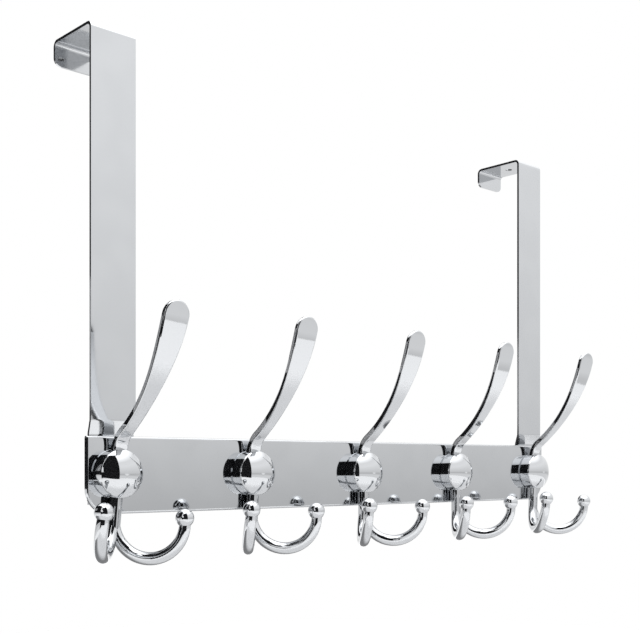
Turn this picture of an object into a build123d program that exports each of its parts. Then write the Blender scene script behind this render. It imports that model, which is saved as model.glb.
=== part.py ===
from build123d import *
import math
import os

# Over-door rack with five triple hooks, chrome plated steel strip and zinc castings.
# All sizes are millimetres and degrees. X runs along the rail, Y points into the door, Z is up.
# The origin is midway between the two hangers' flange holes, on the underside of the flanges,
# which is the middle of the door's top edge. A hook is drawn with its boss axis through its own
# origin and its back at y = 0: reach is measured forward from there, toward -Y, and height upward.

# Layout of the rack
HOOK_PITCH = 87.5
BOSS_AXIS_DROP = 228.0
BOSS_ABOVE_RAIL_MIDDLE = 0.7
# One screw holds each hook, so each sits a little turned, clockwise as seen from the front
HOOK_TURNS = [5.2, 2.6, 1.9, 0.6, 3.6]

# Rail, a flat steel strip
RAIL_HEIGHT = 40.0
RAIL_THICKNESS = 2.0
RAIL_END_OVERHANG = 15.5
RAIL_LOWER_CORNER_RADIUS = 13.0
RAIL_UPPER_CORNER_RADIUS = 1.0
RAIL_EDGE_ROUND = 1.2

# Hangers, folded from narrower strip
HANGER_WIDTH = 26.0
HANGER_THICKNESS = 1.5
HANGER_FOLD_RADIUS = 2.0
DOOR_GAP = 36.0
LIP_DROP = 11.5
LIP_CORNER_RADIUS = 4.0
FLANGE_HOLE_DIAMETER = 5.0
JOGGLE_TOP_ABOVE_RAIL = 8.0
JOGGLE_BOTTOM_ABOVE_RAIL = 1.0
TAIL_ABOVE_RAIL_EDGE = 5.0

# Hook casting: boss with a domed face
BOSS_RADIUS = 12.5
BOSS_DEPTH = 8.2
DOME_HEIGHT = 4.8
BOSS_FOOT_CHAMFER = 0.8
BOSS_RIM_ROUND = 1.3

# Hook casting: upper arm, a flat paddle that leans out and then turns up
ARM_ROOT_REACH = 5.4
ARM_FOOT_HEIGHT = 5.0
ARM_BEND_HEIGHT = 11.0
ARM_BEND_RADIUS = 11.0
ARM_LEAN = 53.0
ARM_SWEEP_RADIUS = 100.0
ARM_TIP_HEIGHT = 85.0
ARM_ROOT_THICKNESS = 4.2
ARM_TIP_THICKNESS = 2.8
ARM_FOOT_WIDTH = 8.8
ARM_NECK_WIDTH = 6.8
ARM_NECK_HEIGHT = 24.0
ARM_TIP_WIDTH = 14.6
ARM_EDGE_ROUND = 0.9

# Hook casting: stem and the two round arms that end in balls
STEM_REACH = 4.2
STEM_RADIUS = 3.3
STEM_END_HEIGHT = -28.0
BRANCH_HEIGHT = -22.6
BRANCH_RADIUS = 2.9
BOWL_SIDE_OFFSET = 13.1
BOWL_REACH = 18.3
BOWL_HEIGHT = -42.0
BOWL_ROD_RADIUS = 3.35
BALL_SIDE_OFFSET = 23.0
BALL_REACH = 32.9
BALL_HEIGHT = -20.3
BALL_ROD_RADIUS = 2.85
BALL_RADIUS = 4.75

# Screws that hold the hooks from behind, one to a hook
SCREW_DIAMETER = 5.0
SCREW_LENGTH = 9.0
SCREW_HEAD_DIAMETER = 9.0
SCREW_HEAD_HEIGHT = 2.4
SCREW_HEAD_ROUND = 1.1
DRIVE_SLOT_LENGTH = 5.0
DRIVE_SLOT_WIDTH = 1.1
DRIVE_SLOT_DEPTH = 1.3
SCREW_HOLE_CLEARANCE = 0.5
THREAD_CLEARANCE = 0.1
BLIND_HOLE_SPARE = 1.0

# How far a cut runs past the face that it opens
CUT_PAST = 1.0

# Places that follow from the sizes above
DOOR_FRONT_Y = -DOOR_GAP / 2
DOOR_BACK_Y = DOOR_GAP / 2
RAIL_FRONT_Y = DOOR_FRONT_Y - HANGER_THICKNESS
RAIL_BACK_Y = RAIL_FRONT_Y + RAIL_THICKNESS
TAIL_BACK_Y = RAIL_BACK_Y + HANGER_THICKNESS
BOSS_AXIS_Z = -BOSS_AXIS_DROP
RAIL_MIDDLE_Z = BOSS_AXIS_Z - BOSS_ABOVE_RAIL_MIDDLE
RAIL_TOP_Z = RAIL_MIDDLE_Z + RAIL_HEIGHT / 2
RAIL_BOTTOM_Z = RAIL_MIDDLE_Z - RAIL_HEIGHT / 2
HALF_SPAN = HOOK_PITCH * (len(HOOK_TURNS) - 1) / 2
HOOK_X = [HOOK_PITCH * i - HALF_SPAN for i in range(len(HOOK_TURNS))]
HANGER_X = [HOOK_X[0], HOOK_X[-1]]
RAIL_LENGTH = 2 * (HALF_SPAN + RAIL_END_OVERHANG)

# Two drawing planes: (across, height) seen from the front, and (reach, height) seen from the side
FRONT_VIEW = Plane(origin=(0, 0, 0), x_dir=(1, 0, 0), z_dir=(0, -1, 0))
SIDE_VIEW = Plane(origin=(0, 0, 0), x_dir=(0, -1, 0), z_dir=(-1, 0, 0))


def bar_along_y(radius, y_start, y_end):
    """A plain round bar on the Y axis between two depths."""
    return Solid.make_cylinder(radius, y_end - y_start, Plane(origin=(0, y_start, 0), z_dir=(0, 1, 0)))


def screw_hole(x, y_start, y_end):
    """The clearance hole for one hook's screw, running past both faces of a plate."""
    radius = (SCREW_DIAMETER + SCREW_HOLE_CLEARANCE) / 2
    return Pos(x, 0, BOSS_AXIS_Z) * bar_along_y(radius, y_start - CUT_PAST, y_end + CUT_PAST)


def make_rail():
    """The flat rail: round lower corners, softened front edges at the ends and below, a hole per hook."""
    outline = Rectangle(RAIL_LENGTH, RAIL_HEIGHT)
    outline = fillet(outline.vertices().group_by(Axis.Y)[0], RAIL_LOWER_CORNER_RADIUS)
    outline = fillet(outline.vertices().group_by(Axis.Y)[-1], RAIL_UPPER_CORNER_RADIUS)
    rail = extrude(Pos(0, RAIL_BACK_Y, RAIL_MIDDLE_Z) * (FRONT_VIEW * outline), RAIL_THICKNESS)
    front = rail.faces().sort_by(Axis.Y)[0]
    top_corner_z = RAIL_TOP_Z - RAIL_UPPER_CORNER_RADIUS
    rail = fillet([edge for edge in front.edges() if edge.center().Z < top_corner_z], RAIL_EDGE_ROUND)
    for x in HOOK_X:
        rail -= screw_hole(x, RAIL_FRONT_Y, RAIL_BACK_Y)
    return rail


def make_hanger(x):
    """One hanger: lip, flange over the door, long upright, joggle, and a tail behind the rail."""
    half = HANGER_THICKNESS / 2
    lip_y = DOOR_BACK_Y + half
    upright_y = DOOR_FRONT_Y - half
    tail_y = upright_y + RAIL_THICKNESS
    path = FilletPolyline(
        (x, lip_y, -LIP_DROP),
        (x, lip_y, half),
        (x, upright_y, half),
        (x, upright_y, RAIL_TOP_Z + JOGGLE_TOP_ABOVE_RAIL),
        (x, tail_y, RAIL_TOP_Z + JOGGLE_BOTTOM_ABOVE_RAIL),
        (x, tail_y, RAIL_BOTTOM_Z + TAIL_ABOVE_RAIL_EDGE),
        radius=HANGER_FOLD_RADIUS + half,
    )
    start = Plane(origin=path @ 0, x_dir=(1, 0, 0), z_dir=path % 0)
    hanger = sweep(start * Rectangle(HANGER_WIDTH, HANGER_THICKNESS), path=path)
    lip_corners = [edge for edge in hanger.edges().filter_by(Axis.Y) if edge.center().Y > DOOR_BACK_Y]
    hanger = fillet(lip_corners, LIP_CORNER_RADIUS)
    hole_height = HANGER_THICKNESS + 2 * CUT_PAST
    hole = Solid.make_cylinder(FLANGE_HOLE_DIAMETER / 2, hole_height, Plane(origin=(x, 0, -CUT_PAST)))
    return hanger - hole - screw_hole(x, RAIL_BACK_Y, TAIL_BACK_Y)


def arm_side_outline():
    """The upper arm from the side: upright root, bend outward, long sweep upward, thinner to the tip."""

    def behind(curve, share, thickness):
        """The point on the arm's back that faces a point on its front."""
        return curve @ share + (curve % share).rotate(Axis.Z, 90) * thickness

    lean = math.radians(ARM_LEAN)
    bend_top = ARM_BEND_HEIGHT + ARM_BEND_RADIUS * math.sin(lean)
    drawn_top = ARM_TIP_HEIGHT + ARM_TIP_THICKNESS
    tip_lean = math.degrees(math.asin(math.sin(lean) - (drawn_top - bend_top) / ARM_SWEEP_RADIUS))
    mean_thickness = (ARM_ROOT_THICKNESS + ARM_TIP_THICKNESS) / 2

    root = Line((ARM_ROOT_REACH, ARM_FOOT_HEIGHT), (ARM_ROOT_REACH, ARM_BEND_HEIGHT))
    bend = JernArc(start=root @ 1, tangent=(0, 1), radius=ARM_BEND_RADIUS, arc_size=-ARM_LEAN)
    rise = JernArc(start=bend @ 1, tangent=bend % 1, radius=ARM_SWEEP_RADIUS, arc_size=ARM_LEAN - tip_lean)
    back_rise = ThreePointArc(
        behind(rise, 1, ARM_TIP_THICKNESS),
        behind(rise, 0.5, mean_thickness),
        behind(rise, 0, ARM_ROOT_THICKNESS),
    )
    back_bend = ThreePointArc(
        back_rise @ 1,
        behind(bend, 0.5, ARM_ROOT_THICKNESS),
        behind(bend, 0, ARM_ROOT_THICKNESS),
    )
    back_root = Line(back_bend @ 1, behind(root, 0, ARM_ROOT_THICKNESS))
    tip = Line(rise @ 1, back_rise @ 0)
    foot = Line(back_root @ 1, root @ 0)
    return make_face([root, bend, rise, tip, back_rise, back_bend, back_root, foot])


def arm_front_outline():
    """The upper arm from the front: a neck that widens to a round tip."""
    tip_radius = ARM_TIP_WIDTH / 2
    tip_centre = ARM_TIP_HEIGHT - tip_radius
    neck = (ARM_NECK_WIDTH / 2, ARM_NECK_HEIGHT)
    root = Line((ARM_FOOT_WIDTH / 2, ARM_FOOT_HEIGHT), neck)
    flank = Spline(neck, (tip_radius, tip_centre), tangents=[(0, 1), (0, 1)])
    tip = CenterArc((0, tip_centre), tip_radius, 0, 180)
    left_flank = flank.mirror(Plane.YZ)
    left_root = root.mirror(Plane.YZ)
    foot = Line(left_root @ 0, root @ 0)
    return make_face([root, flank, tip, left_flank, left_root, foot])


def make_arm():
    """The paddle is its side view, drawn across the width, cut to its front view, edges rounded."""
    side = extrude(SIDE_VIEW * arm_side_outline(), ARM_TIP_WIDTH, both=True)
    greatest_reach = ARM_ROOT_REACH + ARM_BEND_RADIUS + ARM_SWEEP_RADIUS
    arm = side & extrude(FRONT_VIEW * arm_front_outline(), greatest_reach)
    rims = arm.edges().filter_by(Axis.X, reverse=True).filter_by(Axis.Y, reverse=True)
    return fillet(rims, ARM_EDGE_ROUND)


def make_boss():
    """The boss, turned about its axis: a drum with a chamfered foot under a shallow spherical dome."""
    cap_radius = (BOSS_RADIUS ** 2 + DOME_HEIGHT ** 2) / (2 * DOME_HEIGHT)
    top = BOSS_DEPTH + DOME_HEIGHT
    outline = [
        Line((0, 0), (BOSS_RADIUS - BOSS_FOOT_CHAMFER, 0)),
        Line((BOSS_RADIUS - BOSS_FOOT_CHAMFER, 0), (BOSS_RADIUS, BOSS_FOOT_CHAMFER)),
        Line((BOSS_RADIUS, BOSS_FOOT_CHAMFER), (BOSS_RADIUS, BOSS_DEPTH)),
        RadiusArc((BOSS_RADIUS, BOSS_DEPTH), (0, top), -cap_radius),
        Line((0, top), (0, 0)),
    ]
    boss = revolve(Plane.XZ * make_face(outline), axis=Axis.Z)
    rim = boss.edges().filter_by(lambda edge: edge.is_closed).sort_by(Axis.Z)[-1]
    return Rot(90, 0, 0) * fillet(rim, BOSS_RIM_ROUND)


def make_stem():
    """The stem below the boss, a round bar with a round end, turned about an upright axis."""
    profile = make_face([
        Line((0, 0), (STEM_RADIUS, 0)),
        Line((STEM_RADIUS, 0), (STEM_RADIUS, STEM_END_HEIGHT)),
        CenterArc((0, STEM_END_HEIGHT), STEM_RADIUS, 0, -90),
        Line((0, STEM_END_HEIGHT - STEM_RADIUS), (0, 0)),
    ])
    return Pos(0, -STEM_REACH, 0) * revolve(Plane.XZ * profile, axis=Axis.Z)


def make_lower_arm(side):
    """One lower arm: a round rod on an arc from inside the stem, round the bowl, up to its ball."""
    branch = (0, -STEM_REACH, BRANCH_HEIGHT)
    bowl = (side * BOWL_SIDE_OFFSET, -BOWL_REACH, BOWL_HEIGHT)
    ball = (side * BALL_SIDE_OFFSET, -BALL_REACH, BALL_HEIGHT)
    path = ThreePointArc(branch, bowl, ball)
    stations = [(0, BRANCH_RADIUS), (0.5, BOWL_ROD_RADIUS), (1, BALL_ROD_RADIUS)]
    sections = [Plane(origin=path @ at, z_dir=path % at) * Circle(radius) for at, radius in stations]
    rod = sweep(sections, path=path, multisection=True)
    return rod + Pos(*ball) * Sphere(BALL_RADIUS)


def make_hook():
    """One triple hook, a single casting with a blind screw hole in its back."""
    hook = make_boss() + make_stem() + make_arm() + make_lower_arm(-1) + make_lower_arm(1)
    hole_depth = SCREW_LENGTH - RAIL_THICKNESS + BLIND_HOLE_SPARE
    return hook - bar_along_y((SCREW_DIAMETER + THREAD_CLEARANCE) / 2, -hole_depth, CUT_PAST)


def make_screw():
    """A pan head machine screw with a cross recess, its head seated at y = 0 and its shank toward -Y."""
    head = bar_along_y(SCREW_HEAD_DIAMETER / 2, 0, SCREW_HEAD_HEIGHT)
    head = fillet(head.edges().group_by(Axis.Y)[-1], SCREW_HEAD_ROUND)
    slot_y = SCREW_HEAD_HEIGHT - DRIVE_SLOT_DEPTH / 2
    for length, height in ((DRIVE_SLOT_LENGTH, DRIVE_SLOT_WIDTH), (DRIVE_SLOT_WIDTH, DRIVE_SLOT_LENGTH)):
        head -= Pos(0, slot_y, 0) * Box(length, DRIVE_SLOT_DEPTH, height)
    return head + bar_along_y(SCREW_DIAMETER / 2, -SCREW_LENGTH, 0)


def place_screws():
    """The screws from behind: at the hangers their heads seat on the tail, elsewhere on the rail."""
    screw = make_screw()
    seats = [(x, TAIL_BACK_Y if x in HANGER_X else RAIL_BACK_Y) for x in HOOK_X]
    return Compound([Pos(x, seat_y, BOSS_AXIS_Z) * screw for x, seat_y in seats])


def main():
    os.makedirs("parts", exist_ok=True)
    nodes = {
        "rail": make_rail(),
        "left_hanger": make_hanger(HANGER_X[0]),
        "right_hanger": make_hanger(HANGER_X[1]),
        "hook_screws": place_screws(),
    }
    hook = make_hook()
    for number, (x, turn) in enumerate(zip(HOOK_X, HOOK_TURNS), start=1):
        nodes[f"hook_{number}"] = Pos(x, RAIL_FRONT_Y, BOSS_AXIS_Z) * Rot(0, turn, 0) * hook
    for name, shape in nodes.items():
        export_step(shape, f"parts/{name}.step")


main()
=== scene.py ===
# %% [markdown]
# # An over-door rack with five triple hooks, in bright chrome
# The rack is a flat rail that hangs on two folded straps from the top of a door. Five cast hooks stand on
# the rail. The solids come from the CAD model in metres, with the origin at the middle of the door's top,
# X along the rail, Z up and the front of the rack towards -Y. Their shapes are right already, so this
# notebook gives them their finish, and builds the studio that a mirror needs: chrome has hardly any colour
# of its own and shows its room.

# %% Load the fixed frame
import math

import bpy
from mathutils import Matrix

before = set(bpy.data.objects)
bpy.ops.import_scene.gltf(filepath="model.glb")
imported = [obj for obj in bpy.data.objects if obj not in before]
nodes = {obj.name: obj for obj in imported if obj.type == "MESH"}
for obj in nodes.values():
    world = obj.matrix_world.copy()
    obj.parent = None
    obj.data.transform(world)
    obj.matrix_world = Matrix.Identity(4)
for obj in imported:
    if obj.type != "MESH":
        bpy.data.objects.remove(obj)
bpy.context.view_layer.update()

hook_names = sorted(name for name in nodes if name.startswith("hook_") and name != "hook_screws")
hanger_names = ["left_hanger", "right_hanger"]


print("pieces:", sorted(nodes))

# %% [markdown]
# ## Small helpers for node trees
# Every finish below is a tree of shader nodes. Such trees could be clicked together by hand, or written as
# long runs of calls. A few short helpers keep them readable. One adds a node and sets or links its inputs.
# Others do one calculation, turn a value into a range from 0 to 1, mix two colours or make a noise. The last
# two start and place a group, so that an effect is built once and used in several materials with its own
# values.

# %% Helpers that add and calculate
def add(tree, kind, inputs=None, **settings):
    """A new node. An input's value is a number, a colour or another node's output."""
    node = tree.nodes.new(kind)
    for name, value in settings.items():
        setattr(node, name, value)
    for name, value in (inputs or {}).items():
        if isinstance(value, bpy.types.NodeSocket):
            tree.links.new(value, node.inputs[name])
        else:
            node.inputs[name].default_value = value
    return node


def maths(tree, operation, first, second, clamp=False):
    """The output of a Math node."""
    node = add(tree, "ShaderNodeMath", {0: first, 1: second}, operation=operation, use_clamp=clamp)
    return node.outputs["Value"]


def between(tree, value, start, end):
    """0 at the start, 1 at the end and smooth from one to the other."""
    inputs = {"Value": value, "From Min": start, "From Max": end}
    return add(tree, "ShaderNodeMapRange", inputs, interpolation_type="SMOOTHSTEP").outputs["Result"]


print("helpers for calculations ready")

# %% Helpers for colours, places and noise
MIX_MASK = 0  # a Mix node has sockets for each kind of value, so those for colours go by number
MIX_FIRST = 6
MIX_SECOND = 7
MIX_RESULT = 2


def mix_colours(tree, mask, first, second):
    """The first colour where the mask is 0 and the second where it is 1."""
    inputs = {MIX_MASK: mask, MIX_FIRST: first, MIX_SECOND: second}
    return add(tree, "ShaderNodeMix", inputs, data_type="RGBA").outputs[MIX_RESULT]


def part_place(tree):
    """Where the shaded point is on the part, in metres."""
    return add(tree, "ShaderNodeTexCoord").outputs["Object"]


def noise(tree, point, scale, detail=2.0):
    """A soft noise between 0 and 1."""
    inputs = {"Vector": point, "Scale": scale, "Detail": detail}
    return add(tree, "ShaderNodeTexNoise", inputs).outputs["Fac"]


print("helpers for colours and noise ready")

# %% Helpers that start and place groups
def start_group(name, inputs, outputs):
    """A node group with named number sockets. Returns the tree, its inputs and its output node."""
    tree = bpy.data.node_groups.new(name, "ShaderNodeTree")
    for title, default in inputs.items():
        socket = tree.interface.new_socket(title, in_out="INPUT", socket_type="NodeSocketFloat")
        socket.default_value = default
    for title in outputs:
        tree.interface.new_socket(title, in_out="OUTPUT", socket_type="NodeSocketFloat")
    return tree, tree.nodes.new("NodeGroupInput").outputs, tree.nodes.new("NodeGroupOutput")


def place(tree, group, values):
    """The group placed in a material with its own values. Returns its outputs."""
    node = add(tree, "ShaderNodeGroup", node_tree=group)
    for name, value in values.items():
        node.inputs[name].default_value = value
    return node.outputs


print("group helpers ready")

# %% [markdown]
# ## Polishing lines
# A strip of steel is ground and buffed along its length before it is plated, and faint lines stay under the
# chrome. They could be an anisotropic shader, but that says nothing about single lines. Here a noise is
# stretched until it is nearly a line: it changes quickly across the strip and slowly along it. On a folded
# strap it is quick along X and slow along both Y and Z, so the lines follow the strap over its folds without
# a seam. The bands are the same noise at a far slower rate.

# %% A group of fine lines and wide faint bands
BAND_RATE = 0.06


def make_strip_lines():
    rates = {"X per metre": 30.0, "Y per metre": 30.0, "Z per metre": 30.0}
    tree, given, result = start_group("strip_lines", rates, ["Lines", "Bands"])
    stretch = add(tree, "ShaderNodeCombineXYZ", {axis: given[axis + " per metre"] for axis in "XYZ"})
    factors = {0: part_place(tree), 1: stretch.outputs["Vector"]}
    point = add(tree, "ShaderNodeVectorMath", factors, operation="MULTIPLY").outputs["Vector"]
    tree.links.new(noise(tree, point, 1.0, detail=4.0), result.inputs["Lines"])
    tree.links.new(noise(tree, point, BAND_RATE), result.inputs["Bands"])
    return tree


strip_lines = make_strip_lines()
print("group:", strip_lines.name)

# %% [markdown]
# ## The slow ripple of cast and buffed metal
# A casting is never as flat as a mirror. Buffing leaves soft hollows a few millimetres wide, and they bend
# each reflection a little. Moving the mesh would do it, but the ripple is a few thousandths of a millimetre
# deep, far finer than the mesh. So it is a height for a bump node: one slow noise, with a weaker and finer
# one on top.

# %% A group of soft ripple
FINER_BY = 7.0


def make_ripple():
    defaults = {"Waves per metre": 150.0, "Fine share": 0.15}
    tree, given, result = start_group("buffed_ripple", defaults, ["Height"])
    waves = given["Waves per metre"]
    slow = noise(tree, part_place(tree), waves, detail=1.0)
    fine = noise(tree, part_place(tree), maths(tree, "MULTIPLY", waves, FINER_BY))
    fine_part = maths(tree, "MULTIPLY", fine, given["Fine share"])
    tree.links.new(maths(tree, "ADD", slow, fine_part), result.inputs["Height"])
    return tree


ripple = make_ripple()
print("group:", ripple.name)

# %% [markdown]
# ## Wear and dust
# Edges are rubbed first: the chrome there is a little duller and warmer, where the nickel under it begins
# to show. A bevel node looks round each corner and gives a softened normal, which differs from the real one
# only at an edge. Dust is the other way round: it lies where a face looks up and nobody wipes. Both are
# masks from 0 to 1, broken up by noise, because neither is even on a real rack.

# %% A group for worn edges
NORMALS_AGREE = 1.0
NORMALS_AT_EDGE = 0.9
WEAR_SPOTS_START = 0.25
WEAR_SPOTS_FULL = 0.8


def make_edge_wear():
    defaults = {"Edge width": 0.0005, "Spots per metre": 400.0}
    tree, given, result = start_group("edge_wear", defaults, ["Mask"])
    soft = add(tree, "ShaderNodeBevel", {"Radius": given["Edge width"]}, samples=4).outputs["Normal"]
    real = add(tree, "ShaderNodeNewGeometry").outputs["Normal"]
    agreement = add(tree, "ShaderNodeVectorMath", {0: soft, 1: real}, operation="DOT_PRODUCT")
    edge = between(tree, agreement.outputs["Value"], NORMALS_AGREE, NORMALS_AT_EDGE)
    spots = noise(tree, part_place(tree), given["Spots per metre"])
    patchy = between(tree, spots, WEAR_SPOTS_START, WEAR_SPOTS_FULL)
    tree.links.new(maths(tree, "MULTIPLY", edge, patchy), result.inputs["Mask"])
    return tree


edge_wear = make_edge_wear()
print("group:", edge_wear.name)

# %% A group for settled dust
DUST_SLOPE_START = 0.35
DUST_SLOPE_FULL = 0.95


def make_dust():
    defaults = {"Specks per metre": 900.0, "Cover": 0.5}
    tree, given, result = start_group("settled_dust", defaults, ["Mask"])
    normal = add(tree, "ShaderNodeNewGeometry").outputs["Normal"]
    upward = add(tree, "ShaderNodeSeparateXYZ", {0: normal}).outputs["Z"]
    looks_up = between(tree, upward, DUST_SLOPE_START, DUST_SLOPE_FULL)
    specks = noise(tree, part_place(tree), given["Specks per metre"], detail=4.0)
    clean = maths(tree, "SUBTRACT", 1.0, given["Cover"])
    settled = maths(tree, "SUBTRACT", specks, clean, clamp=True)
    tree.links.new(maths(tree, "MULTIPLY", settled, looks_up), result.inputs["Mask"])
    return tree


dust = make_dust()
print("group:", dust.name)

# %% [markdown]
# ## One chrome, three ways of polishing it
# Chrome plate reflects a little over half of the light, nearly the same at every wavelength. The shader is
# plain metal for all three finishes, and they differ in what the masks do: the castings are buffed bright
# and slightly rippled, the rail is a flat mirror with long faint lines, and the straps are a touch more
# satin. Rolled strip is never quite flat either, so rail and straps carry wide shallow hollows, which
# mottle their grey a little.

# %% What all the metals share
CHROME = (0.55, 0.562, 0.578, 1.0)
CHROME_STREAK = (0.535, 0.547, 0.563, 1.0)
WORN_METAL = (0.50, 0.50, 0.505, 1.0)
DUST_GREY = (0.42, 0.41, 0.40, 1.0)
RIPPLE_DEPTH = 0.0001
WORN_ROUGHNESS = 0.06
DUSTY_ROUGHNESS = 0.4


def start_metal(name, bump_strength):
    """A new metal. Returns the material, its tree, its shader and a bump node that feeds the shader."""
    material = bpy.data.materials.new(name)
    material.use_nodes = True
    tree = material.node_tree
    shader = tree.nodes["Principled BSDF"]
    shader.inputs["Metallic"].default_value = 1.0
    bump = add(tree, "ShaderNodeBump", {"Strength": bump_strength, "Distance": RIPPLE_DEPTH})
    tree.links.new(bump.outputs["Normal"], shader.inputs["Normal"])
    return material, tree, shader, bump


def weather(tree, shader, colour, roughness, edge_width, dust_cover):
    """Lays worn edges and dust over a clean colour and a clean roughness."""
    worn = place(tree, edge_wear, {"Edge width": edge_width})["Mask"]
    dusty = place(tree, dust, {"Cover": dust_cover})["Mask"]
    worn_colour = mix_colours(tree, worn, colour, WORN_METAL)
    tree.links.new(mix_colours(tree, dusty, worn_colour, DUST_GREY), shader.inputs["Base Color"])
    from_wear = maths(tree, "MULTIPLY", worn, WORN_ROUGHNESS)
    from_dust = maths(tree, "MULTIPLY", dusty, DUSTY_ROUGHNESS)
    rougher = maths(tree, "ADD", from_wear, from_dust)
    tree.links.new(maths(tree, "ADD", roughness, rougher), shader.inputs["Roughness"])


print("chrome reflects", CHROME[:3])

# %% The chrome of the cast hooks
HOOK_BUMP = 0.06
HOOK_RIPPLE = {"Waves per metre": 170.0, "Fine share": 0.03}
HOOK_HAZE_START = 0.35
HOOK_HAZE_FULL = 0.75
HOOK_HAZE = 0.03
HOOK_ROUGHNESS = 0.02


def make_hook_chrome():
    material, tree, shader, bump = start_metal("cast_hook_chrome", HOOK_BUMP)
    wave = place(tree, ripple, HOOK_RIPPLE)["Height"]
    haze = between(tree, wave, HOOK_HAZE_START, HOOK_HAZE_FULL)
    clean = maths(tree, "ADD", maths(tree, "MULTIPLY", haze, HOOK_HAZE), HOOK_ROUGHNESS)
    weather(tree, shader, CHROME, clean, edge_width=0.0005, dust_cover=0.5)
    tree.links.new(wave, bump.inputs["Height"])
    return material


hook_chrome = make_hook_chrome()
print("material:", hook_chrome.name)

# %% The chrome of the rail and of the straps
STRIP_RIPPLE = {"Waves per metre": 45.0, "Fine share": 0.03}
STRIP_PATCH_START = 0.35
STRIP_PATCH_FULL = 0.65
LINE_SHARE = 0.02
ALONG_RAIL = {"X per metre": 12.0, "Y per metre": 2500.0, "Z per metre": 2500.0}
ALONG_STRAP = {"X per metre": 2200.0, "Y per metre": 12.0, "Z per metre": 12.0}
RAIL_POLISH = {"bump_strength": 0.35, "roughness": 0.035, "streak_roughness": 0.05}
STRAP_POLISH = {"bump_strength": 0.5, "roughness": 0.07, "streak_roughness": 0.08}


def make_strip_chrome(name, rates, bump_strength, roughness, streak_roughness):
    material, tree, shader, bump = start_metal(name, bump_strength)
    marks = place(tree, strip_lines, rates)
    hollows = place(tree, ripple, STRIP_RIPPLE)["Height"]
    patches = between(tree, hollows, STRIP_PATCH_START, STRIP_PATCH_FULL)
    streaks = maths(tree, "MULTIPLY", patches, marks["Bands"])
    clean = maths(tree, "ADD", maths(tree, "MULTIPLY", streaks, streak_roughness), roughness)
    colour = mix_colours(tree, patches, CHROME, CHROME_STREAK)
    weather(tree, shader, colour, clean, edge_width=0.0004, dust_cover=0.52)
    fine_lines = maths(tree, "MULTIPLY", marks["Lines"], LINE_SHARE)
    tree.links.new(maths(tree, "ADD", hollows, fine_lines), bump.inputs["Height"])
    return material


rail_chrome = make_strip_chrome("rail_chrome", ALONG_RAIL, **RAIL_POLISH)
hanger_chrome = make_strip_chrome("strap_chrome", ALONG_STRAP, **STRAP_POLISH)
print("materials:", rail_chrome.name, hanger_chrome.name)

# %% [markdown]
# ## Zinc on the screws
# The five screws sit behind the rail, where nobody looks, so they are zinc-plated and not polished. Zinc is
# paler than this chrome, slightly yellow and much duller. It could be a flat grey, but its grain shows
# close up, so it is made like the chromes, with a small fine ripple that also varies the roughness.

# %% The zinc-plated steel of the screws
ZINC = (0.60, 0.60, 0.57, 1.0)
SCREW_BUMP = 0.15
SCREW_RIPPLE = {"Waves per metre": 900.0, "Fine share": 0.4}
SCREW_UNEVENNESS = 0.15
SCREW_ROUGHNESS = 0.22


def make_screw_steel():
    material, tree, shader, bump = start_metal("zinc_plated_steel", SCREW_BUMP)
    wave = place(tree, ripple, SCREW_RIPPLE)["Height"]
    clean = maths(tree, "ADD", maths(tree, "MULTIPLY", wave, SCREW_UNEVENNESS), SCREW_ROUGHNESS)
    weather(tree, shader, ZINC, clean, edge_width=0.0003, dust_cover=0.55)
    tree.links.new(wave, bump.inputs["Height"])
    return material


screw_steel = make_screw_steel()
print("material:", screw_steel.name)

# %% Dress every solid
finishes = {name: hook_chrome for name in hook_names}
finishes.update({name: hanger_chrome for name in hanger_names})
finishes["rail"] = rail_chrome
finishes["hook_screws"] = screw_steel
for name, material in finishes.items():
    for slot in nodes[name].material_slots:
        slot.material = material
print("dressed:", len(finishes), "of", len(nodes), "pieces")

# %% [markdown]
# ## A pale floor that has no far edge
# The rack hangs in the air as it would on a door. The floor lies below it and is there for its light: it is
# the white that the lower half of each dome and ball reflects. A plain plane would end in a hard horizon
# behind the rack. This disc grows clear at its rim instead, so it melts into the white room. It is small, so
# that the chrome mirrors the wall of the room from well below the height of the rack.

# %% The floor
FLOOR_DEPTH = 0.48
FLOOR_RADIUS = 1.08
FLOOR_SOLID_RADIUS = 1.02
FLOOR_CORNERS = 96
FLOOR_WHITE = (0.79, 0.79, 0.79, 1.0)
FLOOR_ROUGHNESS = 0.7


def make_stage_piece(name, corners, material):
    """A flat piece of the studio with these corners, which isn't part of the rack."""
    mesh = bpy.data.meshes.new(name)
    mesh.from_pydata(corners, [], [list(range(len(corners)))])
    mesh.materials.append(material)
    piece = bpy.data.objects.new(name, mesh)
    bpy.context.collection.objects.link(piece)
    return piece


def make_floor():
    turns = [math.tau * corner / FLOOR_CORNERS for corner in range(FLOOR_CORNERS)]
    rim = [(FLOOR_RADIUS * math.cos(turn), FLOOR_RADIUS * math.sin(turn), -FLOOR_DEPTH) for turn in turns]
    material = bpy.data.materials.new("pale_floor")
    material.use_nodes = True
    tree = material.node_tree
    shader = tree.nodes["Principled BSDF"]
    shader.inputs["Base Color"].default_value = FLOOR_WHITE
    shader.inputs["Roughness"].default_value = FLOOR_ROUGHNESS
    away = add(tree, "ShaderNodeVectorMath", {0: part_place(tree)}, operation="LENGTH")
    rim_reach = math.hypot(FLOOR_RADIUS, FLOOR_DEPTH)
    solid_reach = math.hypot(FLOOR_SOLID_RADIUS, FLOOR_DEPTH)
    solid = between(tree, away.outputs["Value"], rim_reach, solid_reach)
    tree.links.new(solid, shader.inputs["Alpha"])
    make_stage_piece("floor", rim, material)


make_floor()
print("floor", FLOOR_DEPTH, "m below the top of the door")

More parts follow.
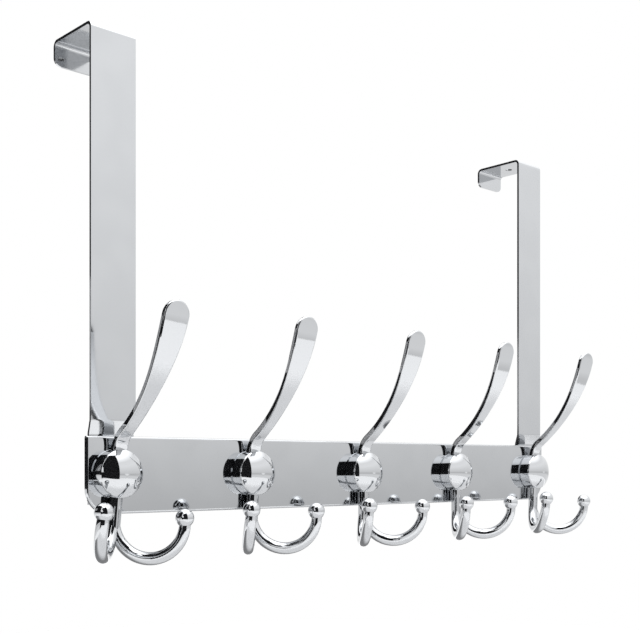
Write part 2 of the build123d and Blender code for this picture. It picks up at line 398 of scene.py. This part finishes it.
# %% [markdown]
# ## Black flags and a grey card
# A mirror in a white tent looks like grey paper. Photographers stand black cards just outside the picture,
# and chrome turns from paper to metal where their edges show in it. A tall card in front draws the dark
# sector on the first domes. A second one, to the left, blackens the sides of the bosses and the left edges
# of the straps. The gap between the two is the light line at the left of the first dome. A low card and a
# narrow tall one close part of that gap, and what stays open is the highlight in the black of each ball.
# One far behind gives rounded tops their dark outline, and a grey card softens the left edges of the arms.
# Only reflections show the cards, and they cast no shadow.

# %% Helpers for matt cards
def make_card(name, span, material):
    """A card that only reflections show. It lies flat, or stands from its left front to its right back."""
    (left, right), (front, back), (bottom, top) = span["x"], span["y"], span["z"]
    if bottom == top:
        corners = [(left, front, top), (right, front, top), (right, back, top), (left, back, top)]
    else:
        corners = [(left, front, bottom), (right, back, bottom), (right, back, top), (left, front, top)]
    card = make_stage_piece(name, corners, material)
    card.visible_camera = False
    card.visible_diffuse = False
    card.visible_shadow = False


def make_matt(name, colour):
    """A material with no gloss at all."""
    material = bpy.data.materials.new(name)
    material.use_nodes = True
    shader = material.node_tree.nodes["Principled BSDF"]
    shader.inputs["Base Color"].default_value = colour
    shader.inputs["Roughness"].default_value = 1.0
    shader.inputs["Specular IOR Level"].default_value = 0.0
    return material


print("card helpers ready")

# %% The upright cards
FLAG_BLACK = (0.012, 0.012, 0.013, 1.0)
CARD_GREY = (0.3, 0.3, 0.303, 1.0)
FLAGS = {
    "front_flag": {"x": (-0.5, -0.14), "y": (-0.37, -0.37), "z": (-0.33, 0.33)},
    "side_flag": {"x": (-0.42, -0.42), "y": (-0.14, 0.6), "z": (-0.245, 0.45)},
    "low_flag": {"x": (-0.5, -0.42), "y": (-0.37, -0.14), "z": (-0.33, -0.19)},
    "top_flag": {"x": (-0.5, -0.45), "y": (-0.37, -0.22), "z": (-0.06, 0.45)},
    "back_flag": {"x": (-0.8, 1.6), "y": (1.2, 1.2), "z": (0.05, 0.75)},
}
GREY_CARD = {"x": (-0.415, -0.415), "y": (0.1, 0.62), "z": (-0.17, -0.05)}

flag_cloth = make_matt("flag_cloth", FLAG_BLACK)
for name, span in FLAGS.items():
    make_card(name, span, flag_cloth)
make_card("grey_card", GREY_CARD, make_matt("card_grey", CARD_GREY))
print("black flags:", len(FLAGS), "and one grey card")

# %% [markdown]
# ## A mat under the rack
# The faces that look down mirror the floor. In front of the rack it is white, and the leaning arms mirror
# that. Right below it is a little darker, and behind it is dark grey, which draws a line round the underside
# of each lower arm. Darker stripes could be painted on the floor, but a felt mat just above it leaves the
# floor that the camera sees white. Its front edge fades in, and its grey deepens slowly towards the back.

# %% The mat
MAT = {"x": (-0.6, 0.8), "y": (-0.36, 0.5), "z": (-0.475, -0.475)}
MAT_EDGE_FADE = 0.16
MAT_DARK_FROM = -0.05
MAT_DARK_TO = 0.12
MAT_PALE = (0.6, 0.6, 0.603, 1.0)
MAT_DARK = (0.17, 0.17, 0.172, 1.0)


def make_mat_felt():
    felt = make_matt("mat_felt", MAT_PALE)
    tree = felt.node_tree
    shader = tree.nodes["Principled BSDF"]
    backward = add(tree, "ShaderNodeSeparateXYZ", {0: part_place(tree)}).outputs["Y"]
    front_edge = MAT["y"][0]
    shown = between(tree, backward, front_edge, front_edge + MAT_EDGE_FADE)
    tree.links.new(shown, shader.inputs["Alpha"])
    dark = between(tree, backward, MAT_DARK_FROM, MAT_DARK_TO)
    tree.links.new(mix_colours(tree, dark, MAT_PALE, MAT_DARK), shader.inputs["Base Color"])
    return felt


make_card("grey_mat", MAT, make_mat_felt())
print("mat from", MAT["y"][0], "to", MAT["y"][1], "m")

# %% [markdown]
# ## The white room
# Chrome is lit by what it sees. One lamp would leave it black with a few hot spots. A room that is white all
# round, with a greyer band at the height of the rack and twice the light overhead, gives the flat faces a
# soft grey that changes slowly, as in a studio tent. The camera itself sees plain white behind the rack.

# %% The room's light
# Each pair is a direction, from -1 straight down to 1 straight up, and the light from there.
ROOM_LIGHT = [(-1.0, 0.8), (-0.3, 0.9), (-0.24, 1.08), (-0.12, 1.06), (-0.045, 0.74),
              (0.025, 0.97), (0.35, 1.26), (0.54, 1.22), (0.74, 2.0), (1.0, 2.1)]
ROOM_STRENGTH = 2.0
MIDDLE_OF_RAMP = 0.5


def grey(light):
    """A grey that gives this light at the room's strength."""
    return (light / ROOM_STRENGTH,) * 3 + (1.0,)


def make_room():
    world = bpy.data.worlds.new("white_room")
    bpy.context.scene.world = world
    world.use_nodes = True
    tree = world.node_tree
    towards = add(tree, "ShaderNodeTexCoord").outputs["Generated"]
    height = add(tree, "ShaderNodeSeparateXYZ", {0: towards}).outputs["Z"]
    share = add(tree, "ShaderNodeMapRange", {"Value": height, "From Min": -1.0, "From Max": 1.0})
    ramp = add(tree, "ShaderNodeValToRGB", {0: share.outputs["Result"]})
    stops = ramp.color_ramp.elements
    for _ in ROOM_LIGHT[2:]:
        stops.new(MIDDLE_OF_RAMP)
    for stop, (level, light) in zip(stops, ROOM_LIGHT):
        stop.position = (level + 1) / 2
        stop.color = grey(light)
    camera_ray = add(tree, "ShaderNodeLightPath").outputs["Is Camera Ray"]
    colour = mix_colours(tree, camera_ray, ramp.outputs["Color"], grey(1))
    background = tree.nodes["Background"]
    background.inputs["Strength"].default_value = ROOM_STRENGTH
    tree.links.new(colour, background.inputs["Color"])


make_room()
bpy.context.scene.view_settings.view_transform = "Standard"
print("room lit from", ROOM_LIGHT[0][1], "below to", ROOM_LIGHT[-1][1], "overhead")

# %% [markdown]
# ## A soft lamp for the floor
# The floor is whitened by a lamp above the rack. A small bright one would do that too, but every dome would
# show it as a hot spot. A wide softbox is only a mild patch of light in the chrome.

# %% The lamp
LAMP_HEIGHT = 1.3
LAMP_SIDE = 1.4
LAMP_WATTS = 8.0


def make_lamp():
    data = bpy.data.lights.new("overhead_softbox", "AREA")
    data.size = LAMP_SIDE
    data.energy = LAMP_WATTS
    lamp = bpy.data.objects.new("overhead_softbox", data)
    lamp.location = (0.0, 0.0, LAMP_HEIGHT)
    bpy.context.collection.objects.link(lamp)


make_lamp()
print("softbox", LAMP_SIDE, "m wide,", LAMP_HEIGHT, "m above the door")

# %% [markdown]
# ## The camera
# The picture was taken from the left and in front of the rack, with the camera level. Turning the camera up
# or down would make the straps lean together, so it stays level and its frame is shifted instead, as with a
# view camera. The lens and the shift put the horizon and the middle of the rack where they are in the
# picture.

# %% The camera
PICTURE_SIDE = 640
LENS_IN_PIXELS = 1055.79
CENTRE_COLUMN = 361.485
HORIZON_ROW = 466.46
SENSOR_WIDTH = 36.0
CAMERA_PLACE = (-0.45934, -0.49773, -0.22427)
CAMERA_TURN = 43.941


def make_camera():
    data = bpy.data.cameras.new("camera")
    data.sensor_width = SENSOR_WIDTH
    data.lens = LENS_IN_PIXELS / PICTURE_SIDE * SENSOR_WIDTH
    data.shift_x = (PICTURE_SIDE / 2 - CENTRE_COLUMN) / PICTURE_SIDE
    data.shift_y = (HORIZON_ROW - PICTURE_SIDE / 2) / PICTURE_SIDE
    camera = bpy.data.objects.new("camera", data)
    camera.location = CAMERA_PLACE
    camera.rotation_euler = (math.pi / 2, 0.0, math.radians(-CAMERA_TURN))
    bpy.context.collection.objects.link(camera)
    bpy.context.scene.camera = camera
    return data


lens = make_camera()
print("lens in mm:", round(lens.lens, 2), "shift:", round(lens.shift_x, 4), round(lens.shift_y, 4))
